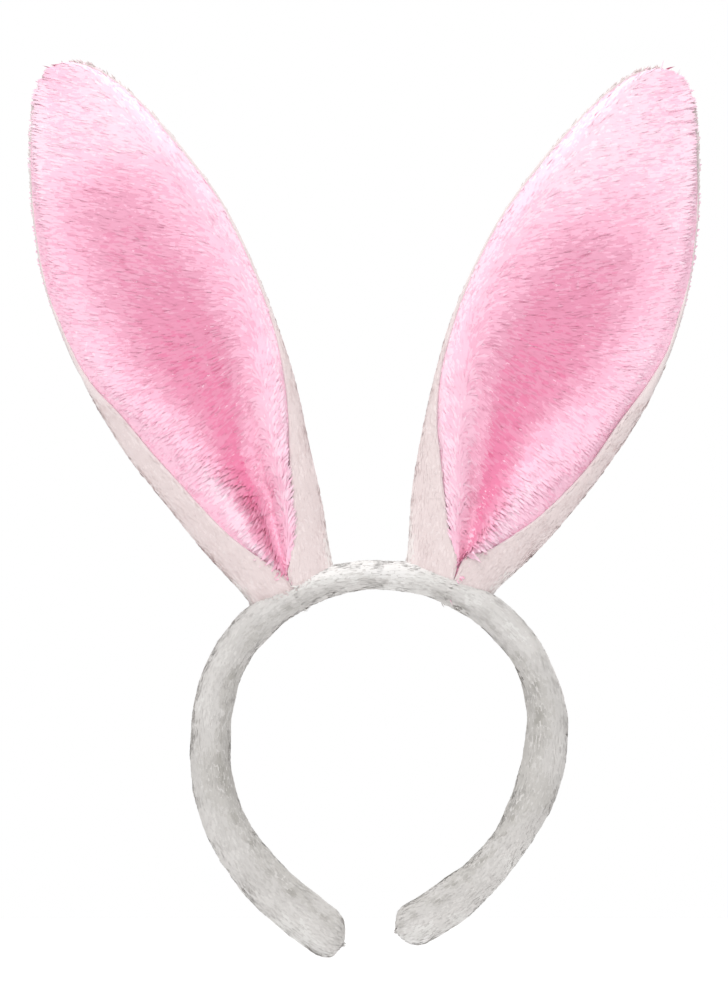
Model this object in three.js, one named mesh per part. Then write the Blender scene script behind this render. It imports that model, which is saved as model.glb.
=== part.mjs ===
// Plush animal-ears headband: a fabric-covered springy band with two long bendable ears.
// Millimetres, +Z up, +Y to the back of the head, origin on the inner face at the crown.
import * as THREE from 'three';

// ---- Driving dimensions ----
const ringRadius = 68;            // centreline of the band over the crown
const crownHalf = 6;              // half thickness of the covered band at the crown
const flexAngle = 47;             // where each arm starts, in degrees from the top
const flexOpen = 17;              // relief cut on the outer side of each arm, in degrees
const sleeveWall = 2.4;           // plush fabric of the band
const gap = 0.3;                  // clearance between neighbouring pieces
const coreHalf = 1.0;             // half thickness of the plastic strip
const threadRadius = 0.5;
const around = 16;                // points round the band

// Each side of the band by angle from the top: centreline radius, half thickness, half width.
const rightBand = {
  radius: [[0, 68], [47, 68], [60, 67.4], [75, 65.4], [90, 62.8], [105, 60.7], [120, 59.7], [135, 59.9],
    [150, 61.5], [160, 63.6], [170, 66.6], [180, 70]],
  half: [[0, 6], [4, 6], [20, 6.3], [45, 7], [62, 7.1], [80, 8.2], [94, 8.8], [110, 8.1], [127, 7.4], [145, 8.3],
    [157, 9], [180, 8.6]],
  width: [[0, 11], [45, 10], [90, 8.8], [130, 8.2], [160, 7.6], [180, 7.4]],
  end: 174,
};
const leftBand = {
  radius: [[0, 68], [47, 68], [60, 67.3], [75, 65.4], [90, 64.3], [105, 64.3], [120, 64.2], [135, 64.7],
    [150, 66.8], [160, 69.6], [170, 73.6], [180, 78]],
  half: [[0, 6], [4, 6], [20, 6.3], [45, 7.5], [62, 7.7], [80, 8], [100, 8.3], [120, 8.8], [135, 9.5],
    [150, 9.8], [180, 9.4]],
  width: [[0, 11], [45, 10], [90, 8.8], [130, 8.2], [160, 7.6], [180, 7.4]],
  end: 168.5,
};

// Each ear: foot on the band, lean from vertical, length, and its outline from the foot (0) to the tip (1).
// Insets: how far each lip lies inside the outline. Fold: how far the fold lies towards the ear's inner side.
const leftEar = {
  foot: [-34.9, 5.6],
  lean: -24.1,
  length: 212,
  bow: -2.4,
  width: [[0, 36], [0.1, 48.5], [0.19, 57.5], [0.31, 69.5], [0.43, 76], [0.55, 78], [0.66, 75], [0.76, 65],
    [0.85, 52.5], [0.92, 39.5], [0.97, 26], [1, 12]],
  outerInset: [[0, 15.5], [0.108, 11.6], [0.192, 9.7], [0.264, 8.9], [0.378, 6.5], [0.464, 2.4], [0.55, 1.2],
    [1, 0.8]],
  innerInset: [[0, 15], [0.047, 12.8], [0.153, 9.8], [0.257, 5.5], [0.403, 1.6], [0.5, 1.2], [1, 0.8]],
  fold: [[0, 0], [0.1, 4.5], [0.15, 7], [0.23, 8.5], [0.33, 12], [0.55, 12], [0.7, 6], [0.85, 1], [1, 0]],
};
const rightEar = {
  foot: [27.1, 6.8],
  lean: 23.5,
  length: 207,
  bow: 2.4,
  width: [[0, 36], [0.1, 52], [0.19, 63], [0.31, 74.3], [0.43, 81.6], [0.53, 82], [0.64, 77.5], [0.76, 65.2],
    [0.85, 51.6], [0.92, 38.7], [0.97, 26], [1, 12]],
  outerInset: [[0, 15.5], [0.044, 14], [0.094, 12.3], [0.164, 8.5], [0.27, 5.9], [0.38, 5.6], [0.46, 3.8],
    [0.55, 1.4], [1, 0.8]],
  innerInset: [[0, 16], [0.03, 17], [0.089, 15], [0.187, 8.5], [0.234, 5], [0.32, 2], [0.4, 1.2], [1, 0.8]],
  fold: [[0, -2], [0.09, 0], [0.17, 5], [0.26, 10], [0.375, 14], [0.55, 12], [0.7, 6], [0.85, 1], [1, 0]],
};
const earWall = 1.3;              // fabric of the back, and of the inner panel
const lipThickness = 3.6;         // both fabrics and the space between them at the edge
const waddingInset = 2.1;         // wadding from the outer faces
const wireRadius = 0.4;
const wireInset = 4.2;            // wire from the edge
const beadRadius = 0.55;          // sewn edge
const domeRadius = 11.5;          // the foot that the ear rocks on

// ---- Helpers ----
const radians = THREE.MathUtils.degToRad;
const vec = (x, y, z) => new THREE.Vector3(x, y, z);
const lerp = THREE.MathUtils.lerp;

// A smooth value through a short list of [position, value] pairs.
function curveThrough(pairs, at) {
  const last = pairs.length - 1;
  const slope = (i) => {
    const a = pairs[Math.max(i - 1, 0)];
    const b = pairs[Math.min(i + 1, last)];
    return (b[1] - a[1]) / (b[0] - a[0]);
  };
  const x = THREE.MathUtils.clamp(at, pairs[0][0], pairs[last][0]);
  let i = 0;
  while (i < last - 1 && x > pairs[i + 1][0]) i += 1;
  const step = pairs[i + 1][0] - pairs[i][0];
  const t = (x - pairs[i][0]) / step;
  const h1 = (1 + 2 * t) * (1 - t) ** 2;
  const h2 = t * (1 - t) ** 2 * step;
  const h3 = t * t * (3 - 2 * t);
  const h4 = t * t * (t - 1) * step;
  return h1 * pairs[i][1] + h2 * slope(i) + h3 * pairs[i + 1][1] + h4 * slope(i + 1);
}

// A closed body through rings of points. Single points close the ends; a loop joins last to first.
function loft(rings, loop = false) {
  const points = [];
  const faces = [];
  const starts = rings.map((ring) => {
    const first = points.length;
    points.push(...ring);
    return first;
  });
  const count = loop ? rings.length : rings.length - 1;
  for (let i = 0; i < count; i += 1) {
    const j = (i + 1) % rings.length;
    const n = Math.max(rings[i].length, rings[j].length);
    for (let k = 0; k < n; k += 1) {
      const m = (k + 1) % n;
      const a = starts[i] + (rings[i].length > 1 ? k : 0);
      const b = starts[i] + (rings[i].length > 1 ? m : 0);
      const c = starts[j] + (rings[j].length > 1 ? k : 0);
      const d = starts[j] + (rings[j].length > 1 ? m : 0);
      if (a !== b) faces.push([a, b, c]);
      if (c !== d) faces.push([b, d, c]);
    }
  }
  return solidOf(points, faces);
}

// Faces are turned to point outwards by the sign of the enclosed volume.
function solidOf(points, faces) {
  let volume = 0;
  for (const [a, b, c] of faces) {
    volume += points[a].dot(points[b].clone().cross(points[c]));
  }
  const index = faces.flatMap(([a, b, c]) => (volume < 0 ? [a, c, b] : [a, b, c]));
  const geometry = new THREE.BufferGeometry();
  geometry.setAttribute('position', new THREE.Float32BufferAttribute(points.flatMap((p) => p.toArray()), 3));
  geometry.setIndex(index);
  geometry.computeVertexNormals();
  return geometry;
}

// A sheet with thickness: place(i, j, side) gives its two faces over a grid.
function slab(nu, nv, place) {
  const rings = [];
  for (let i = 0; i <= nu; i += 1) {
    const ring = [];
    for (let j = 0; j <= nv; j += 1) ring.push(place(i, j, 1));
    for (let j = nv; j >= 0; j -= 1) ring.push(place(i, j, 0));
    rings.push(ring);
  }
  const points = rings.flat();
  const size = 2 * (nv + 1);
  const faces = [];
  for (let i = 0; i < nu; i += 1) {
    for (let k = 0; k < size; k += 1) {
      const a = i * size + k;
      const b = i * size + ((k + 1) % size);
      if (k <= nv) faces.push([a, b, a + size], [b, b + size, a + size]);
      else faces.push([a, b, b + size], [a, b + size, a + size]);
    }
  }
  for (const [row, turned] of [[0, true], [nu, false]]) {
    for (let j = 0; j < nv; j += 1) {
      const a = row * size + j;
      const b = a + 1;
      const c = row * size + size - 1 - j;
      const d = c - 1;
      if (turned) faces.push([a, c, b], [b, c, d]);
      else faces.push([a, b, c], [b, d, c]);
    }
  }
  return solidOf(points, faces);
}

// A thread or wire along a list of points.
function cord(points, radius, sides, steps) {
  const path = new THREE.CatmullRomCurve3(points);
  const section = new THREE.Shape();
  for (let k = 0; k < sides; k += 1) {
    const angle = (2 * Math.PI * k) / sides;
    const x = radius * Math.cos(angle);
    const y = radius * Math.sin(angle);
    if (k === 0) section.moveTo(x, y);
    else section.lineTo(x, y);
  }
  section.closePath();
  return new THREE.ExtrudeGeometry(section, { steps, extrudePath: path, bevelEnabled: false });
}

const ears = new THREE.Group();

function add(name, geometry, colour, roughness = 0.9, metalness = 0) {
  const material = new THREE.MeshStandardMaterial({ color: colour, roughness, metalness });
  const mesh = new THREE.Mesh(geometry, material);
  mesh.name = name;
  ears.add(mesh);
}

const colours = {
  white: 0xf2eeed,
  pink: 0xf7b6d2,
  wadding: 0xf6f6f4,
  foam: 0xe8e4da,
  plastic: 0xd9dadc,
  wire: 0x8c8f92,
  thread: 0xe9e2e0,
};

// ---- The band ----
// The facet between the two middle rings of the crown lies on the plane Z = 0.
const crownRings = 12;
const crownStep = (2 * flexAngle) / (crownRings + 1);
const ringCentre = -(ringRadius - crownHalf) * Math.cos(radians(crownStep / 2));

function bandSide(angle) {
  return angle < 0 ? leftBand : rightBand;
}

// Centre of the band at an angle from the top, positive to the right.
function bandCentre(angle) {
  const radius = curveThrough(bandSide(angle).radius, Math.abs(angle));
  return vec(radius * Math.sin(radians(angle)), 0, ringCentre + radius * Math.cos(radians(angle)));
}

function bandFrame(angle) {
  const along = bandCentre(angle + 0.5).sub(bandCentre(angle - 0.5)).normalize();
  const out = vec(-along.z, 0, along.x);
  return { centre: bandCentre(angle), along, out };
}

// A rounded section: squareness 2 is an ellipse, more is boxier.
function sectionPoint(half, width, turn, squareness) {
  const c = Math.cos(turn);
  const s = Math.sin(turn);
  const bend = (value) => Math.sign(value) * Math.abs(value) ** (2 / squareness);
  return [half * bend(c), width * bend(s)];
}

// One ring of points round the band, inset from its outer surface by a depth.
function bandRing(angle, inset, options = {}) {
  const { scale = 1, squareness = 2.3, sides = around, relief = 0, halfOf, widthOf } = options;
  const side = bandSide(angle);
  const half = (halfOf ?? curveThrough(side.half, Math.abs(angle)) - inset) * scale;
  const width = (widthOf ?? curveThrough(side.width, Math.abs(angle)) - inset) * scale;
  const frame = bandFrame(angle);
  const sign = angle < 0 ? -1 : 1;
  const flatten = Math.cos(Math.PI / sides) ** (2 / squareness);
  const ring = [];
  for (let k = 0; k < sides; k += 1) {
    const turn = (2 * Math.PI * (k + 0.5)) / sides;
    const [radial, across] = sectionPoint(half / flatten, width, turn, squareness);
    const shift = relief ? gap + Math.abs(radial) * Math.tan(radians(radial > 0 ? relief : 4)) : 0;
    ring.push(frame.centre.clone()
      .addScaledVector(frame.out, radial)
      .addScaledVector(frame.along, sign * shift)
      .add(vec(0, across, 0)));
  }
  return ring;
}

function coreWidth(angle) {
  const width = curveThrough(bandSide(angle).width, Math.abs(angle));
  return Math.min(6, width - sleeveWall - gap - 1.6);
}

const foamInset = sleeveWall + gap;
const foamHole = (angle) => ({ halfOf: coreHalf + gap, widthOf: coreWidth(angle) + gap, squareness: 3 });
const coreShape = (angle) => ({ halfOf: coreHalf, widthOf: coreWidth(angle), squareness: 3 });

function crownAngles(count) {
  return Array.from({ length: count + 2 }, (_, i) => lerp(-flexAngle, flexAngle, i / (count + 1)));
}

function openTube(angles, outer, inner) {
  return loft([...angles.map(outer), ...angles.slice().reverse().map(inner)], true);
}

{
  const angles = crownAngles(crownRings);
  add('sleeve_crown', openTube(angles, (a) => bandRing(a, 0), (a) => bandRing(a, sleeveWall)), colours.white);
  add('band_foam_crown', openTube(angles, (a) => bandRing(a, foamInset, { sides: 12 }),
    (a) => bandRing(a, 0, { ...foamHole(a), sides: 12 })), colours.foam);
  const strip = angles.map((a) => bandRing(a, 0, { ...coreShape(a), sides: 8 }));
  add('band_core_crown', loft([[bandCentre(-flexAngle)], ...strip, [bandCentre(flexAngle)]]),
    colours.plastic, 0.5);
}

// The rounded end of an arm: rings shrink like a quarter circle over the last stretch.
const capSteps = [0.45, 0.75, 0.93];

function armRings(sign, side, inset, rows, options, endInset, capLength) {
  const degreesPerMm = 180 / (Math.PI * 68);
  const finish = side.end - endInset * degreesPerMm;
  const capStart = finish - capLength * degreesPerMm;
  const rings = [];
  for (let i = 0; i <= rows; i += 1) {
    const angle = sign * lerp(flexAngle + (i === 0 ? 0 : 2), capStart, i / rows);
    const chosen = typeof options === 'function' ? options(angle) : options;
    rings.push(bandRing(angle, inset, { ...chosen, relief: i === 0 ? flexOpen : 0 }));
  }
  for (const t of capSteps) {
    const angle = sign * lerp(capStart, finish, t);
    const chosen = typeof options === 'function' ? options(angle) : options;
    rings.push(bandRing(angle, inset, { ...chosen, scale: Math.sqrt(1 - t * t) }));
  }
  rings.push([bandCentre(sign * finish)]);
  return rings;
}

for (const [name, sign, side] of [['left', -1, leftBand], ['right', 1, rightBand]]) {
  const outer = armRings(sign, side, 0, 14, {}, 0, 8);
  const inner = armRings(sign, side, sleeveWall, 14, {}, sleeveWall, 6.5);
  add(`${name}_sleeve`, loft([...outer.slice().reverse(), ...inner]), colours.white);
  const foamOuter = armRings(sign, side, foamInset, 14, { sides: 12 }, foamInset + 1, 6);
  const foamInner = armRings(sign, side, 0, 14, (a) => ({ ...foamHole(a), sides: 12 }), 7, 3);
  add(`${name}_band_foam`, loft([...foamOuter.slice().reverse(), ...foamInner]), colours.foam);
  const core = armRings(sign, side, 0, 14, (a) => ({ ...coreShape(a), sides: 8 }), 7 + gap, 3);
  add(`${name}_band_core`, loft([[core[0].reduce((sum, p) => sum.add(p), vec(0, 0, 0)).divideScalar(8)],
    ...core]), colours.plastic, 0.5);
}

// ---- Sewn line along the front of the band ----
function seamPoint(angle) {
  const side = bandSide(angle);
  const width = curveThrough(side.width, Math.abs(angle));
  const frame = bandFrame(angle);
  const lift = gap + 2 * threadRadius;
  return frame.centre.clone().add(vec(0, -width - lift, 0));
}

function seam(from, to, steps) {
  const points = [];
  for (let i = 0; i <= 12; i += 1) points.push(seamPoint(lerp(from, to, i / 12)));
  return cord(points, threadRadius, 5, steps);
}

add('sleeve_seam_crown', seam(-flexAngle + 1, flexAngle - 1, 20), colours.thread);
add('left_sleeve_seam', seam(-flexAngle - 5, -leftBand.end + 8, 22), colours.thread);
add('right_sleeve_seam', seam(flexAngle + 5, rightBand.end - 8, 22), colours.thread);

// The gathered stitch that closes the tip of each sleeve, laid over the rounded end.
for (const [name, sign, side] of [['left', -1, leftBand], ['right', 1, rightBand]]) {
  const tip = bandFrame(sign * side.end);
  const base = bandFrame(sign * (side.end - 8));
  const points = [];
  for (let i = -4; i <= 4; i += 1) {
    const turn = radians(i * 13);
    points.push(base.centre.clone()
      .addScaledVector(tip.along, sign * (11.2 * Math.cos(turn)))
      .add(vec(0, 10.6 * Math.sin(turn), 0)));
  }
  add(`${name}_tip_stitch`, cord(points, threadRadius, 5, 10), colours.thread);
}

// ---- The ears ----
// Depths along the ear: its spine behind the band's middle plane, its half section, and the bottom of the cup.
const backDepth = [[0, 8.5], [0.15, 9], [0.3, 9], [0.6, 6.5], [1, 5]];
const wallDepth = [[0, 8.5], [0.15, 8.5], [0.3, 7.5], [0.45, 6], [0.6, 5], [0.8, 4.2], [0.95, 3], [1, 2]];
const cupDepth = [[0, 13.5], [0.04, 10], [0.1, 7], [0.2, 6], [0.35, 6], [0.6, 7], [0.8, 7], [0.95, 5.6], [1, 4.4]];
// Direction in which the inner panel leaves the lip: -90 is straight back, -180 is across the ear.
const panelStart = [[0, -95], [0.3, -110], [0.45, -150], [0.6, -180], [1, -180]];

// Rows along the ear lie closer together where it folds and where the tip rounds off.
const earRows = [0, 0.06, 0.12, 0.18, 0.24, 0.3, 0.36, 0.42, 0.5, 0.6, 0.7, 0.79, 0.86, 0.915, 0.955, 0.985, 1];
const halfColumns = 7;
const earColumns = 2 * halfColumns;

function distancesAlong(line) {
  const at = [0];
  for (let i = 1; i < line.length; i += 1) at.push(at[i - 1] + line[i].distanceTo(line[i - 1]));
  return at;
}

function pointAlong(line, at, distance) {
  let i = 1;
  while (i < line.length - 1 && at[i] < distance) i += 1;
  return line[i - 1].clone().lerp(line[i], (distance - at[i - 1]) / (at[i] - at[i - 1]));
}

// Half of the ear's section, from the fold to one lip: points of the back and of the inner panel.
function halfSection(ear, u, isOuter) {
  const half = curveThrough(ear.width, u) / 2;
  const fold = curveThrough(ear.fold, u) * (isOuter ? 1 : -1);
  const reach = half + fold;
  const lipReach = half + fold - curveThrough(isOuter ? ear.outerInset : ear.innerInset, u);
  const depth = curveThrough(wallDepth, u);
  const endTurn = Math.PI - Math.asin(THREE.MathUtils.clamp(lipReach / reach, 0.05, 0.995));
  const back = [];
  for (let i = 0; i <= 40; i += 1) {
    const turn = (endTurn * i) / 40;
    back.push(new THREE.Vector2(reach * Math.sin(turn), depth * (1 - Math.cos(turn))));
  }
  const lip = back[40];
  const bottom = new THREE.Vector2(0, curveThrough(cupDepth, u));
  const heading = radians(curveThrough(panelStart, u));
  const pull = Math.min(0.35 * lip.distanceTo(bottom), 5);
  const front = new THREE.CubicBezierCurve(bottom, bottom.clone().add(new THREE.Vector2(0.35 * lip.x, 0)),
    lip.clone().add(new THREE.Vector2(Math.cos(heading), Math.sin(heading)).multiplyScalar(pull)), lip)
    .getPoints(40);
  // Both stop short of the lip, where they are still a lip's thickness apart.
  const backAt = distancesAlong(back);
  const frontAt = distancesAlong(front);
  const room = (cut) => pointAlong(back, backAt, backAt[40] - cut)
    .distanceTo(pointAlong(front, frontAt, frontAt[40] - cut));
  let cut = 0.5;
  while (room(cut) < lipThickness && cut < 0.6 * frontAt[40]) cut += 0.1;
  const points = [];
  for (let i = 0; i <= halfColumns; i += 1) {
    const t = i / halfColumns;
    const pair = [pointAlong(back, backAt, (backAt[40] - cut) * t),
      pointAlong(front, frontAt, (frontAt[40] - cut) * t)];
    for (const point of pair) point.x = (point.x - fold) * (isOuter ? 1 : -1);
    points.push(pair);
  }
  return { points, length: backAt[40] - cut };
}

// The whole section at one height, as columns from the inner lip to the outer lip.
const knownSections = new Map();
function earSection(ear, u) {
  const key = `${ear.lean} ${u.toFixed(5)}`;
  if (!knownSections.has(key)) {
    const inner = halfSection(ear, u, false);
    const outer = halfSection(ear, u, true);
    knownSections.set(key, {
      columns: [...inner.points.slice(1).reverse(), ...outer.points],
      lengths: [inner.length, outer.length],
    });
  }
  return knownSections.get(key);
}

function earFrame(ear) {
  const lean = radians(ear.lean);
  return {
    foot: vec(ear.foot[0], 0, ear.foot[1]),
    up: vec(Math.sin(lean), 0, Math.cos(lean)),
    across: vec(Math.cos(lean), 0, -Math.sin(lean)),
    outward: Math.sign(ear.lean),
  };
}

// A point inside the ear at a row and a column; place() picks its distance from the back, given the thickness.
// The rows near the foot end on the dome.
function earPoint(ear, u, column, place) {
  const frame = earFrame(ear);
  let height = u * ear.length;
  let point = null;
  let depth = 0;
  for (let pass = 0; pass < 6; pass += 1) {
    const at = height / ear.length;
    const { columns } = earSection(ear, at);
    const j = Math.min(Math.floor(column), earColumns - 1);
    const back = columns[j][0].clone().lerp(columns[j + 1][0], column - j);
    const front = columns[j][1].clone().lerp(columns[j + 1][1], column - j);
    const thickness = back.distanceTo(front);
    point = back.lerp(front, place(thickness) / thickness);
    depth = curveThrough(backDepth, at) - point.y;
    const floor = Math.sqrt(Math.max(domeRadius ** 2 - depth ** 2, 4));
    height = lerp(floor, ear.length, u);
  }
  const bow = ear.bow * Math.sin(Math.PI * Math.min((height / ear.length) * 1.05, 1));
  return frame.foot.clone()
    .addScaledVector(frame.up, height)
    .addScaledVector(frame.across, frame.outward * point.x + bow)
    .add(vec(0, depth, 0));
}

// The column that lies a distance inside the lip on one side, or a chosen column if that lies further in.
function columnInside(ear, u, side, inset, chosen) {
  const length = earSection(ear, u).lengths[side < 0 ? 0 : 1];
  const away = Math.min(halfColumns * (1 - inset / length), Math.abs(chosen - halfColumns));
  return halfColumns + side * Math.max(away, 0);
}

// One layer of the ear; trim leaves out that many rows and columns all round, inset at least a few millimetres.
function earLayer(ear, from, to, trim = 0, inset = 0) {
  const rows = trim ? earRows.slice(trim, -3) : earRows;
  const columns = earColumns - 2 * trim;
  return slab(rows.length - 1, columns, (i, j, side) => {
    const chosen = j + trim;
    const edge = j === 0 || j === columns;
    const column = edge ? columnInside(ear, rows[i], Math.sign(chosen - halfColumns), inset, chosen) : chosen;
    return earPoint(ear, rows[i], column, side ? to : from);
  });
}

// Corners along the edge of the ear, up its inner side and down its outer side.
function edgeCorners(ear, inset, rows, place = (thickness) => thickness / 2) {
  const corner = (side, u) => {
    const column = columnInside(ear, u, side, inset, side < 0 ? 0 : earColumns);
    return earPoint(ear, u, column, place);
  };
  return [...rows.map((u) => corner(-1, u)), ...rows.slice().reverse().map((u) => corner(1, u))];
}

// The same corners moved straight out of the edge.
function outsideEdge(ear, rows, distance) {
  const edge = edgeCorners(ear, 0, rows);
  const within = edgeCorners(ear, wireInset, rows);
  const behind = edgeCorners(ear, 0, rows, () => 0);
  return edge.map((point, i) => {
    const along = edge[Math.min(i + 1, edge.length - 1)].clone().sub(edge[Math.max(i - 1, 0)]);
    const away = along.cross(point.clone().sub(behind[i])).normalize();
    if (away.dot(point.clone().sub(within[i])) < 0) away.negate();
    return point.clone().addScaledVector(away, distance);
  });
}

function withMiddles(corners) {
  return corners.flatMap((p, i) => (i ? [p.clone().add(corners[i - 1]).multiplyScalar(0.5), p] : [p]));
}

for (const [name, ear] of [['left', leftEar], ['right', rightEar]]) {
  add(`${name}_ear_back`, earLayer(ear, () => 0, () => earWall), colours.white);
  add(`${name}_ear_inner`, earLayer(ear, (thickness) => thickness - earWall, (thickness) => thickness),
    colours.pink);
  add(`${name}_ear_wadding`, earLayer(ear, (thickness) => Math.min(waddingInset, thickness / 2 - 0.4),
    (thickness) => Math.max(thickness - waddingInset, thickness / 2 + 0.4), 1, 6), colours.wadding);

  // The wire loop runs between the fabrics; the sewn edge runs round the outside, clear of both.
  const wire = withMiddles(edgeCorners(ear, wireInset, earRows.slice(1, 15), (thickness) => 0.54 * thickness));
  add(`${name}_ear_wire`, cord(wire, wireRadius, 5, 54), colours.wire, 0.35, 1);
  const bead = withMiddles(outsideEdge(ear, earRows.slice(1), beadRadius + 3.4 * gap));
  add(`${name}_ear_edge_seam`, cord(bead, beadRadius, 5, 62), colours.thread);

  // The foot: a low dome that the ear rocks on, shaped to the band under it.
  const frame = earFrame(ear);
  const half = curveThrough(ear.width, 0) / 2 - 1.5;
  const depthHalf = 9.2;
  const bandTop = (x, y) => {
    const angle = THREE.MathUtils.radToDeg(Math.atan2(x, frame.foot.z - ringCentre));
    const side = bandSide(angle);
    const width = curveThrough(side.width, Math.abs(angle));
    const thick = curveThrough(side.half, Math.abs(angle));
    return ringRadius + thick * (1 - Math.min(Math.abs(y) / width, 0.99) ** 2.3) ** (1 / 2.3) + 0.5;
  };
  const onBand = (w, y, lift) => {
    const base = frame.foot.clone().addScaledVector(frame.across, w).add(vec(0, y, 0));
    const reach = bandTop(base.x, y) + lift;
    const away = base.clone().sub(vec(0, y, ringCentre));
    const b = away.dot(frame.up);
    return base.addScaledVector(frame.up, -b + Math.sqrt(b * b - away.lengthSq() + reach * reach));
  };
  add(`${name}_ear_root`, slab(8, 8, (i, j, side) => {
    const w = lerp(-half, half, i / 8);
    const y = lerp(-depthHalf, depthHalf, j / 8);
    if (!side) return onBand(w, y, 0);
    const top = Math.sqrt((domeRadius - 2 * gap) ** 2 - y * y);
    return frame.foot.clone().addScaledVector(frame.across, w).addScaledVector(frame.up, top)
      .add(vec(0, y, 0));
  }), colours.white);

  // Hand stitches that hold the foot to the sleeve, one row at the front and one at the back.
  for (const [place, facing] of [['front', -1], ['back', 1]]) {
    const points = [];
    for (let i = 0; i <= 8; i += 1) {
      points.push(onBand(lerp(1 - half, half - 1, i / 8), facing * (depthHalf + 1), 1.2));
    }
    add(`${name}_ear_${place}_stitch`, cord(points, threadRadius, 5, 10), colours.thread);
  }
}

export default ears;
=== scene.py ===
# Plush rabbit-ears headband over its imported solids: cloth pads, pile of tufts, fillings and studio light.
import math

import bpy
import numpy as np
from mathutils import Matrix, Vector, noise


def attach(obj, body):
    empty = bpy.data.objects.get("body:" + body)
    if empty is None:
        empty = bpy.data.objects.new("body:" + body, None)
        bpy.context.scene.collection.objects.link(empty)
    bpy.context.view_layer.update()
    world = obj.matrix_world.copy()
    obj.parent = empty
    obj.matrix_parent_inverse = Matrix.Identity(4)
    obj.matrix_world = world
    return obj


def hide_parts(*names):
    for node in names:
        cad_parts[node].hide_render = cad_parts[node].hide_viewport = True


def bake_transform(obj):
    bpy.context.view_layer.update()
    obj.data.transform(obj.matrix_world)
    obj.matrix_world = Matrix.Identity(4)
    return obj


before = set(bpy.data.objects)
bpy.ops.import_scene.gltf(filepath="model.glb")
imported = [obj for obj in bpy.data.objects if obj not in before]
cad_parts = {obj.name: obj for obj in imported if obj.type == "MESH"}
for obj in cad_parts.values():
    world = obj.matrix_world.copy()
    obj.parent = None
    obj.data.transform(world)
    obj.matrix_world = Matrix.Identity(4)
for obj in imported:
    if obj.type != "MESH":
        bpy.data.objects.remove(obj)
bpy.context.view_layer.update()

mm = 0.001
print("solids loaded", len(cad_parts))


def throughPairs(pairs, at):
    # smooth value through [position, value] pairs
    last = len(pairs) - 1

    def slope(i):
        a, b = pairs[max(i - 1, 0)], pairs[min(i + 1, last)]
        return (b[1] - a[1]) / (b[0] - a[0])

    x = min(max(at, pairs[0][0]), pairs[last][0])
    i = 0
    while i < last - 1 and x > pairs[i + 1][0]:
        i += 1
    step = pairs[i + 1][0] - pairs[i][0]
    t = (x - pairs[i][0]) / step
    return ((1 + 2 * t) * (1 - t) ** 2 * pairs[i][1] + t * (1 - t) ** 2 * step * slope(i)
            + t * t * (3 - 2 * t) * pairs[i + 1][1] + t * t * (t - 1) * step * slope(i + 1))


def smooth(t):
    t = np.clip(t, 0, 1)
    return t * t * (3 - 2 * t)


def bell(x, middle, width):
    return np.exp(-((x - middle) / width) ** 2)


def lumps(point, size, seed=0.0):
    # soft unevenness, -1 to 1, with a size in millimetres
    return noise.noise(Vector((point[0] / size + seed, point[1] / size, point[2] / size)))


def layeredLumps(point, layers):
    # lumps of several sizes together, each layer as size, seed and share
    return sum(share * lumps(point, size, seed) for size, seed, share in layers)


def linear(hexColour):
    # sRGB hex to the linear values that shaders use
    parts = [int(hexColour[i:i + 2], 16) / 255 for i in (1, 3, 5)]
    return [c / 12.92 if c <= 0.04045 else ((c + 0.055) / 1.055) ** 2.4 for c in parts] + [1.0]


def put(tree, kind, inputs=None, **settings):
    # one node with its settings, values and links
    node = tree.nodes.new(kind)
    for name, value in settings.items():
        setattr(node, name, value)
    for name, value in (inputs or {}).items():
        socket = node.inputs[name]
        if isinstance(value, bpy.types.NodeSocket):
            tree.links.new(value, socket)
        else:
            socket.default_value = value
    return node


def meshObject(name, points, faces, materials):
    mesh = bpy.data.meshes.new(name)
    mesh.from_pydata([tuple(p) for p in points], [], faces)
    for material in materials:
        mesh.materials.append(material)
    mesh.update()
    mesh.shade_smooth()
    piece = bpy.data.objects.new(name, mesh)
    bpy.context.scene.collection.objects.link(piece)
    return piece


def setAttribute(piece, name, kind, values):
    attribute = piece.data.attributes.new(name, kind, "POINT")
    flat = np.asarray(values, dtype=np.float32).ravel()
    attribute.data.foreach_set("vector" if kind == "FLOAT_VECTOR" else "value", flat)


# the camera looks straight at the front: distance in metres, aim and height of view in millimetres
cameraSetup = {"distance": 2.0, "aimX": -5.9, "aimZ": 35.7, "viewHeight": 377.7, "sensor": 36}

cameraData = bpy.data.cameras.new("studioCamera")
cameraData.sensor_fit = "VERTICAL"
cameraData.sensor_height = cameraSetup["sensor"]
cameraData.lens = cameraSetup["sensor"] * cameraSetup["distance"] / (cameraSetup["viewHeight"] * mm)
camera = bpy.data.objects.new("studioCamera", cameraData)
camera.location = (cameraSetup["aimX"] * mm, -cameraSetup["distance"], cameraSetup["aimZ"] * mm)
camera.rotation_euler = (math.radians(90), 0, 0)
bpy.context.scene.collection.objects.link(camera)
bpy.context.scene.camera = camera


def newMaterial(name, inputs):
    # a material, its tree and its shader, with the shader's plain values set
    material = bpy.data.materials.new(name)
    material.use_nodes = True
    shader = material.node_tree.nodes["Principled BSDF"]
    for label, value in inputs.items():
        shader.inputs[label].default_value = value
    return material, material.node_tree, shader


def objectNoise(tree, size, detail, roughness=0.5):
    # noise fixed to the piece, with a size in millimetres
    place = put(tree, "ShaderNodeTexCoord")
    return put(tree, "ShaderNodeTexNoise", {"Vector": place.outputs["Object"], "Scale": 1000 / size,
                                            "Detail": detail, "Roughness": roughness}).outputs["Fac"]


def unevenGloss(tree, shader, grain, rough, change):
    uneven = put(tree, "ShaderNodeMapRange",
                 {"Value": grain, "To Min": rough - change, "To Max": rough + change})
    tree.links.new(uneven.outputs["Result"], shader.inputs["Roughness"])


def relief(tree, shader, grain, strength, depth):
    bump = put(tree, "ShaderNodeBump", {"Height": grain, "Strength": strength, "Distance": depth * mm})
    tree.links.new(bump.outputs["Normal"], shader.inputs["Normal"])


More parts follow.
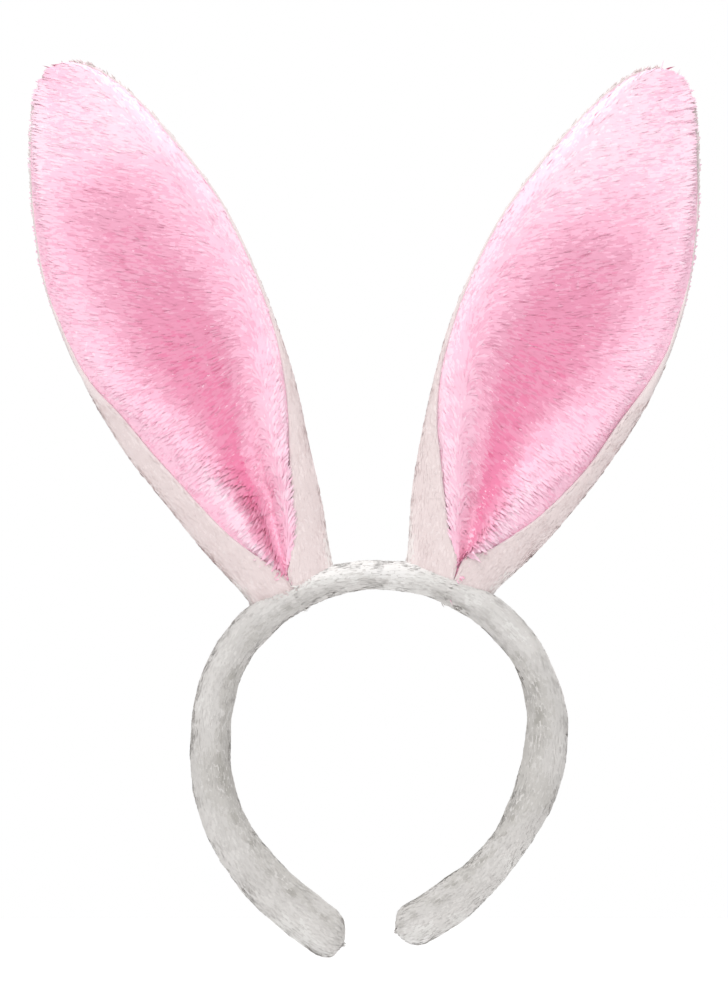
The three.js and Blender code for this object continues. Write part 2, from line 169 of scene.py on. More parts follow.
pileLook = {"sheenRoughness": 0.45, "specular": 0.25, "polyesterIor": 1.53, "crimpSize": 10 / 9,
            "glossChange": 0.1}


def pileMaterial(name, colour, sheen, rough):
    # plush pile: soft crimped polyester, no gloss, a pale bloom where it is seen edge on
    material, tree, shader = newMaterial(name, {
        "Base Color": linear(colour), "Sheen Weight": sheen, "Sheen Roughness": pileLook["sheenRoughness"],
        "Sheen Tint": linear(colour), "Specular IOR Level": pileLook["specular"],
        "IOR": pileLook["polyesterIor"]})
    unevenGloss(tree, shader, objectNoise(tree, pileLook["crimpSize"], 2), rough, pileLook["glossChange"])
    return material


clothLook = {"rough": 0.92, "sheen": 0.4, "sheenRoughness": 0.5, "grain": 0.8, "patch": 14, "relief": 0.5,
             "reliefDepth": 0.4}


def clothMaterial(name, dark, light):
    # knitted backing under the pile: matt, with a fine broken fibre grain and slow paler patches
    material, tree, shader = newMaterial(name, {
        "Roughness": clothLook["rough"], "Sheen Weight": clothLook["sheen"],
        "Sheen Roughness": clothLook["sheenRoughness"]})
    fibres = objectNoise(tree, clothLook["grain"], 4, 0.65)
    patches = objectNoise(tree, clothLook["grain"] * clothLook["patch"], 2)
    mixed = put(tree, "ShaderNodeMath", {0: fibres, 1: patches}, operation="ADD")
    span = put(tree, "ShaderNodeMapRange", {"Value": mixed.outputs[0], "From Min": 0.7, "From Max": 1.3})
    colours = put(tree, "ShaderNodeMix",
                  {"Factor": span.outputs["Result"], 6: linear(dark), 7: linear(light)}, data_type="RGBA")
    tree.links.new(colours.outputs[2], shader.inputs["Base Color"])
    relief(tree, shader, fibres, clothLook["relief"], clothLook["reliefDepth"])
    return material


def fillingMaterial(name, colour, rough, grainSize, change):
    # a hidden filling: one colour with a little unevenness in its gloss and a fine relief
    material, tree, shader = newMaterial(name, {"Base Color": linear(colour)})
    grain = objectNoise(tree, grainSize, 3)
    unevenGloss(tree, shader, grain, rough, change)
    relief(tree, shader, grain, 0.4, 0.2)
    return material


# each pile goes from its deepest shade to its palest, one plain material to a shade: lit and shaded copies of
# one plush, which carry painted light and shade as well as the pile's own uneven tone
pinkPile = [pileMaterial(name, colour, 0.5, 0.75) for name, colour in (
    ("plushPinkRoots", "#E0759A"), ("plushPinkCrease", "#E686A9"), ("plushPinkDeep", "#E796B4"),
    ("plushPinkMiddle", "#ECA7C1"), ("plushPinkSoft", "#F8BAD2"), ("plushPinkLight", "#FCCBDF"),
    ("plushPinkPale", "#FEDBEA"), ("plushPinkTips", "#FFEAF4"))]
whitePile = [pileMaterial(name, colour, 0.4, 0.8) for name, colour in (
    ("plushWhiteDeepestShade", "#A5A29D"), ("plushWhiteRoots", "#AEABA6"), ("plushWhiteDeep", "#B7B4B0"),
    ("plushWhiteShade", "#C0BDB9"), ("plushWhiteMiddle", "#C9C6C3"), ("plushWhiteSoft", "#D2CFCC"),
    ("plushWhitePale", "#DBD9D6"), ("plushWhiteTips", "#E4E2E0"))]
# the ear's white pile has a pink cast, strongest in its deeper steps: painted reflection of the pink pile
# beside it
earWhitePile = [pileMaterial(name, colour, 0.4, 0.8) for name, colour in (
    ("plushEarWhiteRoots", "#DAC9C9"), ("plushEarWhiteShade", "#E3D4D3"), ("plushEarWhiteMiddle", "#EBDDDC"),
    ("plushEarWhitePale", "#EFE7E5"), ("plushEarWhiteTips", "#F4EFED"))]
pinkCloth = clothMaterial("plushBackingPink", "#FABFD6", "#FFD6E6")
# the ear's white backing has the same pink cast: painted reflection of the pink pile
earWhiteCloth = clothMaterial("plushBackingEarWhite", "#E2D3D3", "#EDE0DF")
whiteCloth = clothMaterial("plushBackingWhite", "#C6C3C0", "#D4D1CE")

# what lies inside the plush: open foam, bright plastic strip, loose fibre and coated wire
fillings = {"band_foam": fillingMaterial("polyurethaneFoamWhite", "#EFEAD8", 0.9, 0.9, 0.06),
            "band_core": fillingMaterial("polypropyleneStrip", "#E8E8E4", 0.38, 6, 0.06),
            "wadding": fillingMaterial("polyesterFibreFill", "#F4F2EE", 0.92, 1.6, 0.05),
            "wire": fillingMaterial("plasticCoatedWire", "#EDEDED", 0.3, 3, 0.05)}
for nodeName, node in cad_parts.items():
    for part, material in fillings.items():
        if part in nodeName:
            for slot in node.material_slots:
                slot.material = material
print("materials made")

# the band in millimetres: angles run from the top down each arm in degrees, negative on the left; radius is
# the middle line's, half and width are half of the sleeve's size across the ring and from front to back
band = {
    "centreZ": -61.877,
    "topRadius": 68,
    "flexAngle": 47,
    "flexReach": 9,
    "crownSpan": (-26.0, 22.0),
    "crownOverlap": 2.2,
    "left": {
        "radius": [[0, 68], [47, 68], [60, 67.3], [75, 65.4], [90, 64.3], [105, 64.3], [120, 64.2],
                   [135, 64.7], [150, 66.8], [160, 69.6], [170, 73.6], [180, 78]],
        "half": [[0, 6], [4, 6], [20, 6.3], [45, 7.5], [62, 7.7], [80, 8], [100, 8.3], [120, 8.8],
                 [135, 9.5], [150, 9.8], [180, 9.4]],
        "end": 168.5,
        "tipCorner": 0.35},
    "right": {
        "radius": [[0, 68], [47, 68], [60, 67.4], [75, 65.4], [90, 62.8], [105, 60.7], [120, 59.7],
                   [135, 59.9], [150, 61.5], [160, 63.6], [170, 66.6], [180, 70]],
        "half": [[0, 6], [4, 6], [20, 6.3], [45, 7], [62, 7.1], [80, 8.2], [94, 8.8], [110, 8.1],
                 [127, 7.4], [145, 8.3], [157, 9], [180, 8.6]],
        "end": 174,
        "tipCorner": 1},
    "width": [[0, 11], [45, 10], [90, 8.8], [130, 8.2], [160, 7.6], [180, 7.4]],
    "squareness": 2.3,
    "pileRoom": 0.6,
    "cap": 8.0,
    "capSteps": (0.25, 0.45, 0.62, 0.76, 0.87, 0.95),
    "stationStep": 1.1,
    "around": 40,
    "unevenness": 0.45,
    "lumps": ((11, 0, 1), (5, 7, 0.5)),
    # paler at the crown's top and darker down the arms, painted light from above, and paler again towards the
    # tips
    "tone": [[0, 6.3], [25, 5.2], [50, 4.3], [90, 3.4], [120, 3.6], [160, 4.6], [180, 5]],
    # painted light on the outer face and painted shade on the side towards the head
    "paintedOuterLight": 0.9,
    "patchTone": 1.5,
    # dark flecks along a wandering line where the sleeve's front turns towards the head: painted shade among
    # the pile's clumps
    "seam": {"turn": 243, "wander": 14, "width": 13, "shade": 5, "fleck": 3.2, "fleckShare": 0.15},
    "thinPile": 0.9,
}


def bandSide(angle):
    return band["left"] if angle < 0 else band["right"]


def bandCentre(angle):
    radius = throughPairs(bandSide(angle)["radius"], abs(angle))
    a = math.radians(angle)
    return np.array([radius * math.sin(a), 0, band["centreZ"] + radius * math.cos(a)])


def bandFrame(angle):
    # the middle of the sleeve, the way along it and the way out of the ring
    along = bandCentre(angle + 0.5) - bandCentre(angle - 0.5)
    along /= np.linalg.norm(along)
    return bandCentre(angle), along, np.array([-along[2], 0, along[0]])


def bandPoint(angle, turn, scale, grow, corner):
    # a point of the sleeve: turn 0 faces outwards, 90 to the back, 180 to the head; a corner under 1 keeps
    # the outer side wide where scale narrows the sleeve
    centre, _, out = bandFrame(angle)
    c, s = math.cos(math.radians(turn)), math.sin(math.radians(turn))
    half = (throughPairs(bandSide(angle)["half"], abs(angle)) + grow) * (scale ** corner if c > 0 else scale)
    width = (throughPairs(band["width"], abs(angle)) + grow) * scale
    radial = half * math.copysign(abs(c) ** (2 / band["squareness"]), c)
    across = width * math.copysign(abs(s) ** (2 / band["squareness"]), s)
    return centre + out * radial + np.array([0, across, 0])


def sleeveStations(fromAngle, toAngle, sign, capEnd):
    # angle and scale of each ring of points; a capped end narrows to its tip
    steps = max(int(abs(toAngle - fromAngle) / band["stationStep"]), 6)
    capDegrees = band["cap"] * 180 / (math.pi * band["topRadius"])
    last = toAngle - sign * capDegrees if capEnd else toAngle
    stations = [(fromAngle + (last - fromAngle) * i / steps, 1.0) for i in range(steps + 1)]
    if capEnd:
        stations += [(last + sign * capDegrees * t, math.sqrt(1 - t * t)) for t in band["capSteps"]]
    return stations


def sleeveTone(point, angle, turn):
    # steps of whitePile: paler at the crown's top and on the outer face and darker on the side towards the
    # head, all painted light and shade; patchy at random; and darker in flecks along a wandering line,
    # painted shade among the pile's clumps
    seam = band["seam"]
    offFleckLine = (turn - seam["turn"] - seam["wander"] * lumps(point, 18, 51)) / seam["width"]
    flecks = math.exp(-offFleckLine ** 2) * max(0, lumps(point, seam["fleck"], 41) + seam["fleckShare"])
    return (throughPairs(band["tone"], abs(angle)) + band["paintedOuterLight"] * math.cos(math.radians(turn))
            + band["patchTone"] * lumps(point, 14, 31) - seam["shade"] * flecks)


def tubeFaces(rings, count, first, end, flipped):
    # quads between rings of points and a fan at each end
    faces = []
    for i in range(rings - 1):
        for k in range(count):
            m = (k + 1) % count
            faces.append((i * count + k, i * count + m, (i + 1) * count + m, (i + 1) * count + k))
    top = (rings - 1) * count
    for k in range(count):
        m = (k + 1) % count
        faces.append((first, m, k))
        faces.append((end, top + k, top + m))
    return [tuple(reversed(face)) for face in faces] if flipped else faces


def sleeveMesh(name, fromAngle, toAngle, capEnd):
    # closed padded tube; capEnd rounds the tip, and the pile of a capped piece lies towards it
    sign = -1 if toAngle < fromAngle else 1
    stations = sleeveStations(fromAngle, toAngle, sign, capEnd)
    corner = bandSide(toAngle)["tipCorner"] if capEnd else 1
    count = band["around"]
    points, comb, tones, amounts = [], [], [], []
    for i, (angle, scale) in enumerate(stations):
        centre, along, _ = bandFrame(angle)
        openEnd = i == 0 or (i == len(stations) - 1 and not capEnd)
        for k in range(count):
            turn = 360 * k / count
            point = bandPoint(angle, turn, scale, -band["pileRoom"], corner)
            away = point - centre
            reach = np.linalg.norm(away) or 1
            point = point + away / reach * (band["unevenness"] * layeredLumps(point, band["lumps"]))
            points.append(point)
            comb.append(along * (sign if capEnd else 1))
            tones.append(sleeveTone(point, angle, turn))
            amounts.append(band["thinPile"] if openEnd else 1.0)
    first, end = len(points), len(points) + 1
    points += [bandCentre(fromAngle), bandCentre(toAngle)]
    comb += [comb[0], comb[-1]]
    tones += [tones[0], tones[-1]]
    amounts += [0.0, float(capEnd)]
    faces = tubeFaces(len(stations), count, first, end, sign > 0)
    piece = meshObject(name, np.array(points) * mm, faces, [whiteCloth])
    setAttribute(piece, "combDirection", "FLOAT_VECTOR", comb)
    setAttribute(piece, "pileTone", "FLOAT", tones)
    setAttribute(piece, "pileLength", "FLOAT", np.ones(len(points)))
    setAttribute(piece, "pileAmount", "FLOAT", amounts)
    return piece


# the ears in millimetres: tables run from the foot (0) to the tip (1); they are hand sewn and differ a little
earShape = {
    "left": {
        "foot": (-34.9, 5.6), "lean": -24.1, "length": 212, "bow": -2.4,
        "width": [[-0.04, 33], [0, 36], [0.1, 48.5], [0.19, 57.5], [0.31, 69.5], [0.43, 76], [0.55, 78],
                  [0.66, 75], [0.76, 65], [0.85, 52.5], [0.92, 39.5], [0.97, 26], [0.99, 17], [1, 8]],
        "outerInset": [[-0.04, 16.4], [-0.02, 17.1], [0, 17.9], [0.033, 15.6], [0.108, 11.6], [0.192, 9.7],
                       [0.264, 8.9], [0.378, 6.5], [0.464, 2], [0.55, 0.6], [1, 0.3]],
        "innerInset": [[-0.04, 16.4], [-0.02, 17.1], [0, 17.9], [0.033, 14.8], [0.08, 12], [0.153, 9.8],
                       [0.257, 5.5], [0.403, 1.2], [0.5, 0.5], [1, 0.3]],
        "fold": [[0, 0], [0.1, 4.5], [0.15, 7], [0.23, 8.5], [0.33, 12], [0.55, 12], [0.7, 6], [0.85, 1],
                 [1, 0]],
        "crest": [[0, 0.5], [0.135, 0.7], [0.24, 0.42], [0.35, 0.25], [0.455, 0.16], [1, 0.2]]},
    "right": {
        "foot": (27.1, 6.8), "lean": 23.5, "length": 207, "bow": 2.4,
        "width": [[-0.04, 33], [0, 36], [0.1, 52], [0.19, 63], [0.31, 74.3], [0.43, 81.6], [0.53, 82],
                  [0.64, 77.5], [0.76, 65.2], [0.85, 51.6], [0.92, 38.7], [0.97, 26], [0.99, 17], [1, 8]],
        "outerInset": [[-0.04, 18.2], [-0.02, 18.9], [0, 19.6], [0.024, 19.8], [0.055, 15.4], [0.094, 12.3],
                       [0.164, 8.5], [0.27, 5.9], [0.38, 5.6], [0.46, 3.4], [0.55, 0.8], [1, 0.3]],
        "innerInset": [[-0.04, 18.2], [-0.02, 18.9], [0, 19.6], [0.024, 19.8], [0.055, 17], [0.089, 15],
                       [0.187, 8.5], [0.234, 5], [0.32, 1.6], [0.4, 0.6], [1, 0.3]],
        "fold": [[0, -2], [0.09, 0], [0.17, 5], [0.26, 10], [0.375, 14], [0.55, 12], [0.7, 6], [0.85, 1],
                 [1, 0]],
        "crest": [[0, 0.5], [0.1, 0.6], [0.164, 0.5], [0.27, 0.2], [0.4, 0.14], [1, 0.2]]},
    "backDepth": [[0, 8.5], [0.15, 9], [0.3, 9], [0.6, 6.5], [1, 5]],
    "wallDepth": [[0, 8.5], [0.15, 8.5], [0.3, 7.5], [0.45, 6], [0.6, 5], [0.8, 4.2], [0.95, 3], [1, 2]],
    "valley": [[0, 15.5], [0.04, 13.5], [0.1, 11], [0.2, 8.6], [0.35, 7], [0.6, 7.6], [0.8, 7.6], [0.95, 6],
               [1, 4.6]],
    "rise": [[0, -1], [0.1, 1], [0.24, 2.6], [0.45, 2], [0.7, 1.2], [0.9, 0.8], [1, 0]],
    "innerCrest": 0.22,
    "innerRise": 0.8,
    "lipThickness": [[0, 1.2], [0.42, 1.2], [0.55, 0.6], [1, 0.4]],
    "lipGap": 0.004,
    "lipWidest": 0.995,
    "buried": 7.5,
    "clothThickness": 1.6,
    "innerThickness": 1.5,
    "backLumps": ((26, 3, 0.7), (9, 5, 0.25)),
    "frontLumps": ((16, 11, 0.6), (6, 13, 0.3)),
    "rows": 110,
    "tipCrowding": 1.25,
    "columns": 72,
    "arcPoints": 80,
}


def earFrame(side):
    # the foot, the ways up and across the ear, and which way across is outwards
    shape = earShape[side]
    lean = math.radians(shape["lean"])
    return (np.array([shape["foot"][0], 0, shape["foot"][1]]),
            np.array([math.sin(lean), 0, math.cos(lean)]),
            np.array([math.cos(lean), 0, -math.sin(lean)]),
            1 if shape["lean"] > 0 else -1)


def evenSteps(line, count):
    # the same line with its points at even distances
    step = np.concatenate([[0], np.cumsum(np.linalg.norm(np.diff(line, axis=0), axis=1))])
    wanted = np.linspace(0, step[-1], count)
    return np.stack([np.interp(wanted, step, line[:, k]) for k in range(line.shape[1])], 1)


def cubic(a, b, c, d, count):
    t = np.linspace(0, 1, count)[:, None]
    return (1 - t) ** 3 * a + 3 * t * (1 - t) ** 2 * b + 3 * t * t * (1 - t) * c + t ** 3 * d


def halfSection(side, u, outer, count):
    # from the fold to one lip: the back line, its inward direction and the front line, as across and forward
    shape = earShape[side]
    half = throughPairs(shape["width"], u) / 2
    fold = throughPairs(shape["fold"], u) * (1 if outer else -1)
    reach = half + fold
    lip = half - throughPairs(shape["outerInset" if outer else "innerInset"], u) + fold
    depth = throughPairs(earShape["wallDepth"], u)
    endTurn = math.pi - math.asin(min(max(lip / reach, earShape["lipGap"]), earShape["lipWidest"]))
    turn = np.linspace(0, endTurn, earShape["arcPoints"])
    back = evenSteps(np.stack([reach * np.sin(turn), depth * (1 - np.cos(turn))], 1), count)
    way = np.gradient(back, axis=0)
    way /= np.linalg.norm(way, axis=1)[:, None]
    inward = np.stack([-way[:, 1], way[:, 0]], 1)
    rim = back[-1] + inward[-1] * throughPairs(earShape["lipThickness"], u)
    valley = np.array([0, throughPairs(earShape["valley"], u)])
    crestAt = throughPairs(shape["crest"], u) if outer else earShape["innerCrest"]
    rise = throughPairs(earShape["rise"], u) * (1 if outer else earShape["innerRise"])
    crest = np.array([rim[0] * (1 - crestAt), max(back[-1][1] + rise, valley[1] + 0.4)])
    slope = (rim[0] - crest[0]) * 0.5
    flank = crest[0] * 0.42
    front = evenSteps(np.concatenate([
        cubic(valley, valley + (flank, 0), crest - (flank, 0), crest, 40)[:-1],
        cubic(crest, crest + (slope, 0), rim + inward[-1] * 1.5, rim, 20)]), count)
    for line in (back, front):
        line[:, 0] = (line[:, 0] - fold) * (1 if outer else -1)
    return back, inward * (1 if outer else -1, 1), front


def earSection(side, u):
    # the three lines right across the ear at height u, from the inner lip to the outer lip
    count = earShape["columns"] // 2 + 1
    inner, outer = halfSection(side, u, False, count), halfSection(side, u, True, count)
    return [np.concatenate([a[::-1], b[1:]]) for a, b in zip(inner, outer)]


def placeOnEar(side, heights, lines):
    # section points [row, column, (across, forward)] into the row frame, in millimetres
    foot, up, across, outward = earFrame(side)
    length = earShape[side]["length"]
    result = np.zeros(lines.shape[:2] + (3,))
    for i, height in enumerate(heights):
        u = height / length
        bow = earShape[side]["bow"] * math.sin(math.pi * min(max(u * 1.05, 0), 1))
        depth = throughPairs(earShape["backDepth"], u) - lines[i, :, 1]
        result[i] = (foot + up * height + np.outer(outward * lines[i, :, 0] + bow, across)
                     + np.outer(depth, [0, 1, 0]))
    return result


def closedSheet(name, faceA, faceB, material):
    # a closed solid between two grids of points, its faces turned outwards
    rows, columns = faceA.shape[:2]
    points = np.concatenate([faceA.reshape(-1, 3), faceB.reshape(-1, 3)])
    other = rows * columns
    faces = []
    for i in range(rows - 1):
        for j in range(columns - 1):
            a, d = i * columns + j, (i + 1) * columns + j
            b, c = a + 1, d + 1
            faces.append((a, b, c, d))
            faces.append((other + d, other + c, other + b, other + a))
    ring = ([(0, j) for j in range(columns - 1)] + [(i, columns - 1) for i in range(rows - 1)]
            + [(rows - 1, j) for j in range(columns - 1, 0, -1)] + [(i, 0) for i in range(rows - 1, 0, -1)])
    for k, (i, j) in enumerate(ring):
        ni, nj = ring[(k + 1) % len(ring)]
        a, b = i * columns + j, ni * columns + nj
        faces.append((b, a, other + a, other + b))
    corners = np.array([[points[k] for k in face] for face in faces])
    volume = (np.einsum("ij,ij->i", corners[:, 0], np.cross(corners[:, 1], corners[:, 2]))
              + np.einsum("ij,ij->i", corners[:, 0], np.cross(corners[:, 2], corners[:, 3]))).sum()
    if volume < 0:
        faces = [tuple(reversed(face)) for face in faces]
    return meshObject(name, points * mm, faces, [material])


def describePile(piece, comb, tone, length, shown):
    # for each point of the outer face: which way the pile lies, its shade and length, and whether it grows;
    # none grows on the hidden face
    hidden = np.zeros(len(piece.data.vertices) - shown.size)
    combed = np.concatenate([comb.reshape(-1, 3), np.zeros((len(hidden), 3))])
    setAttribute(piece, "combDirection", "FLOAT_VECTOR", combed)
    setAttribute(piece, "pileTone", "FLOAT", np.concatenate([tone.ravel(), hidden]))
    setAttribute(piece, "pileLength", "FLOAT", np.concatenate([length.ravel(), hidden + 1]))
    setAttribute(piece, "pileAmount", "FLOAT", np.concatenate([shown.ravel(), hidden]))


# shade of the pink pile, as steps of pinkPile, down the middle and at the two edges; it holds painted shade
# in the fold and painted light and sheen on the edges and the outer ridge
pinkTone = {
    "middle": [[0, 2.4], [0.1, 1.9], [0.18, 0.8], [0.3, 1.3], [0.5, 1.8], [0.62, 2.5], [0.75, 3.6],
               [0.85, 5.4], [1, 5]],
    "inner": [[0, 5], [0.1, 6], [0.3, 6], [0.5, 5.8], [0.7, 6], [0.9, 6.5], [1, 6.3]],
    "outer": [[0, 5.2], [0.2, 4.6], [0.5, 4.9], [0.7, 4.7], [0.9, 5.9], [1, 5.8]],
    "creaseAt": {"left": 0.2, "right": 0.03},
    "ridge": {"left": 2.4, "right": 1.0},
    "tipPaleness": {"left": -0.4, "right": 1.1},
}


def pileTones(side, heights, acrosses):
    # deep along the crease and up the middle, painted shade of the fold; paler on the outer ridge and at the
    # edges, painted light and sheen; and paler at the tip
    tones = np.zeros((len(heights), len(acrosses)))
    for i, u in enumerate(heights):
        middle, inner, outer = (throughPairs(pinkTone[k], u) for k in ("middle", "inner", "outer"))
        crease = pinkTone["creaseAt"][side] * float(smooth((0.4 - u) / 0.3))
        opened = float(smooth((u - 0.25) / 0.2))
        offCrease = acrosses - crease
        towardsInner = np.clip(-offCrease / (1 + crease), 0, 1) ** (0.35 + 0.6 * opened)
        towardsOuter = smooth((offCrease - (0.1 + 0.2 * opened)) / (0.4 + 0.15 * opened))
        # the ridge's lift is painted light, set against the shadow on its steep slope
        ridge = pinkTone["ridge"][side] * float(smooth((0.29 - u) / 0.12)) * bell(acrosses, 0.52, 0.15)
        tip = pinkTone["tipPaleness"][side] * bell(u, 0.74, 0.08) * (1 - acrosses ** 2)
        tones[i] = middle + (inner - middle) * towardsInner + (outer - middle) * towardsOuter + (ridge + tip)
    return tones


backNap = {"up": 0.8, "sideways": 0.3, "pinkReflectionTone": 1.0, "whiterTone": 2.4, "bareAbove": 0.42,
           "bareLipAbove": 0.93, "bareLipBelow": 0.98}


def backPad(side, heights, back, inward):
    # white cloth, all the way round to the lips
    _, up, across, outward = earFrame(side)
    u = (heights / earShape[side]["length"])[:, None]
    v = np.linspace(-1, 1, back.shape[1])
    outerFace = placeOnEar(side, heights, back)
    innerFace = placeOnEar(side, heights, back + inward * earShape["clothThickness"])
    wavy = np.array([[layeredLumps(p, earShape["backLumps"]) for p in row] for row in outerFace])
    outerFace[..., 1] += wavy
    innerFace[..., 1] += wavy
    piece = closedSheet(side + "EarBackCloth", outerFace, innerFace, earWhiteCloth)
    comb = (up[None, None, :] * backNap["up"] + np.zeros(outerFace.shape)
            + (outward * across)[None, None, :] * backNap["sideways"] * v[None, :, None])
    spread = np.abs(v)[None, :] + np.zeros(outerFace.shape[:2])
    bare = np.where(u > backNap["bareAbove"], spread > backNap["bareLipAbove"],
                    spread > backNap["bareLipBelow"])
    # the sides towards the front are darker and pinker, painted reflection of the pink pile beside them; the
    # rest is whiter
    whiter = np.maximum(smooth((0.75 - spread) / 0.25), smooth((u - 0.4) / 0.1))
    describePile(piece, comb, backNap["pinkReflectionTone"] + backNap["whiterTone"] * whiter, np.ones(bare.shape),
                 1.0 - bare)
    return piece


frontNap = {"foot": -17, "tip": 33, "innerFoot": 150, "innerTip": 75, "edgeShortening": 0.45, "footGain": 0.2,
            "bareLip": 0.985}


def frontPad(side, heights, front):
    # pink cloth, from lip to lip over the wadding
    _, up, across, outward = earFrame(side)
    u = heights / earShape[side]["length"]
    v = np.linspace(-1, 1, front.shape[1])
    face = placeOnEar(side, heights, front)
    ruffles = np.array([[layeredLumps(p, earShape["frontLumps"]) for p in row] for row in face])
    face[..., 1] += ruffles * (1 - v ** 8)[None, :]
    rear = face + np.array([0, earShape["innerThickness"], 0])
    piece = closedSheet(side + "EarInnerCloth", face, rear, pinkCloth)
    uGrid, vGrid = np.repeat(u[:, None], len(v), 1), np.repeat(v[None, :], len(u), 0)
    # the pile lies outwards and, towards the tip and on the inner side, turns upwards
    innerLow = smooth((-0.35 - vGrid) / 0.3) * smooth((0.55 - uGrid) / 0.25)
    innerHigh = smooth((-0.45 - vGrid) / 0.35) * smooth((uGrid - 0.35) / 0.2)
    turn = np.radians(frontNap["foot"] + (frontNap["tip"] - frontNap["foot"]) * smooth((uGrid - 0.3) / 0.3))
    turn = (turn + (math.radians(frontNap["innerFoot"]) - turn) * innerLow
            + (math.radians(frontNap["innerTip"]) - turn) * innerHigh)
    comb = np.cos(turn)[..., None] * (outward * across) + np.sin(turn)[..., None] * up
    pileLength = ((1 - frontNap["edgeShortening"] * vGrid ** 4)
                  * (1 + frontNap["footGain"] * smooth((0.42 - uGrid) / 0.3)))
    describePile(piece, comb, pileTones(side, u, v), pileLength,
                 (np.abs(vGrid) < frontNap["bareLip"]).astype(float))
    return piece


def earPads(side):
    length, buried = earShape[side]["length"], earShape["buried"]
    rows = np.linspace(0, 1, earShape["rows"])
    heights = -buried + (length + buried) * (1 - (1 - rows) ** earShape["tipCrowding"])
    sections = [earSection(side, height / length) for height in heights]
    back, inward, front = (np.array(lines) for lines in zip(*sections))
    return backPad(side, heights, back, inward), frontPad(side, heights, front)


tuftShape = {"bend": 0.5, "rootWidth": 0.5, "middle": 0.55, "middleBend": 0.22, "middleWidth": 0.475,
             "thickness": 0.25}


def tuftObject():
    # one lock of pile: flat, bent and tapering, one unit high and one unit wide, its ridge on the outer side
    rings = [(0.0, 0.0, tuftShape["rootWidth"]),
             (tuftShape["bend"] * tuftShape["middleBend"], tuftShape["middle"], tuftShape["middleWidth"])]
    points = []
    for x, z, r in rings:
        points += [(x - tuftShape["thickness"] * r, 0, z), (x, -r, z), (x, r, z)]
    points.append((tuftShape["bend"], 0, 1))
    faces = [(2, 1, 0)]
    for k in range(3):
        m = (k + 1) % 3
        faces += [(k, m, 3 + m), (k, 3 + m, 3 + k), (3 + k, 3 + m, 6)]
    tuft = meshObject("tuft", points, faces, [])
    setAttribute(tuft, "towardsTip", "FLOAT", [0, 0, 0, 0.6, 0.6, 0.6, 1])
    return tuft


def readAttribute(tree, name, kind="FLOAT"):
    return put(tree, "GeometryNodeInputNamedAttribute", {"Name": name}, data_type=kind).outputs["Attribute"]


def storeAttribute(tree, geometry, name, value, kind):
    return put(tree, "GeometryNodeStoreNamedAttribute", {"Geometry": geometry, "Name": name, "Value": value},
               data_type=kind, domain="POINT").outputs[0]


def number(tree, operation, *values):
    return put(tree, "ShaderNodeMath", dict(enumerate(values)), operation=operation).outputs[0]


def vector(tree, operation, *values):
    return put(tree, "ShaderNodeVectorMath", dict(enumerate(values)), operation=operation).outputs[0]


def scaled(tree, direction, amount):
    return put(tree, "ShaderNodeVectorMath", {0: direction, "Scale": amount}, operation="SCALE").outputs[0]


pileInputs = (("Cloth", "Geometry"), ("Tuft", "Object"), ("Tufts per m2", "Float"), ("Length", "Float"),
              ("Width", "Float"), ("Lean", "Float"), ("Ruffle", "Float"), ("Clump", "Float"),
              ("Clump size", "Float"), ("Streak stretch", "Float"), ("Streak tilt", "Float"),
              ("Tone spread", "Float"), ("Tip gain", "Float"), ("Seed", "Int"))
pileGrowth = {"grownAbove": 0.97, "shortest": 0.7, "longest": 1.25, "toneLuck": 0.6, "luckSeed": 77}


def clumpNoise(tree, given):
    # slow noise over the cloth, stretched into streaks that lie a little tilted
    spot = put(tree, "ShaderNodeSeparateXYZ", {"Vector": put(tree, "GeometryNodeInputPosition").outputs[0]})
    tilted = number(tree, "MULTIPLY_ADD", spot.outputs["X"], given["Streak tilt"], spot.outputs["Z"])
    streaked = put(tree, "ShaderNodeCombineXYZ",
                   {"X": spot.outputs["X"], "Y": spot.outputs["Y"],
                    "Z": number(tree, "MULTIPLY", tilted, given["Streak stretch"])})
    fineness = number(tree, "DIVIDE", 1.0, given["Clump size"])
    return put(tree, "ShaderNodeTexNoise", {"Vector": streaked.outputs[0], "Scale": fineness, "Detail": 1.5})


def tuftRotation(tree, given, normal, swirl):
    # each tuft leans along the comb, laid flat on the cloth, with a ruffle of its own and one of its clump
    comb = readAttribute(tree, "combDirection", "FLOAT_VECTOR")
    flat = vector(tree, "SUBTRACT", comb, vector(tree, "PROJECT", comb, normal))
    scatter = put(tree, "FunctionNodeRandomValue",
                  {"Min": (-1, -1, -1), "Max": (1, 1, 1), "Seed": given["Seed"]},
                  data_type="FLOAT_VECTOR").outputs["Value"]
    centred = vector(tree, "SUBTRACT", swirl.outputs["Color"], (0.5, 0.5, 0.5))
    lying = vector(tree, "ADD", normal, scaled(tree, flat, given["Lean"]))
    loose = vector(tree, "ADD", scaled(tree, scatter, given["Ruffle"]), scaled(tree, centred, given["Clump"]))
    return put(tree, "FunctionNodeAxesToRotation",
               {"Primary Axis": vector(tree, "ADD", lying, loose), "Secondary Axis": flat},
               primary_axis="Z", secondary_axis="X").outputs[0]


def tuftSize(tree, given):
    chance = put(tree, "FunctionNodeRandomValue", {2: pileGrowth["shortest"], 3: pileGrowth["longest"],
                                                   "Seed": given["Seed"]}, data_type="FLOAT").outputs[1]
    length = number(tree, "MULTIPLY", given["Length"], readAttribute(tree, "pileLength"))
    return put(tree, "ShaderNodeCombineXYZ", {"X": given["Width"], "Y": given["Width"],
                                              "Z": number(tree, "MULTIPLY", length, chance)}).outputs[0]


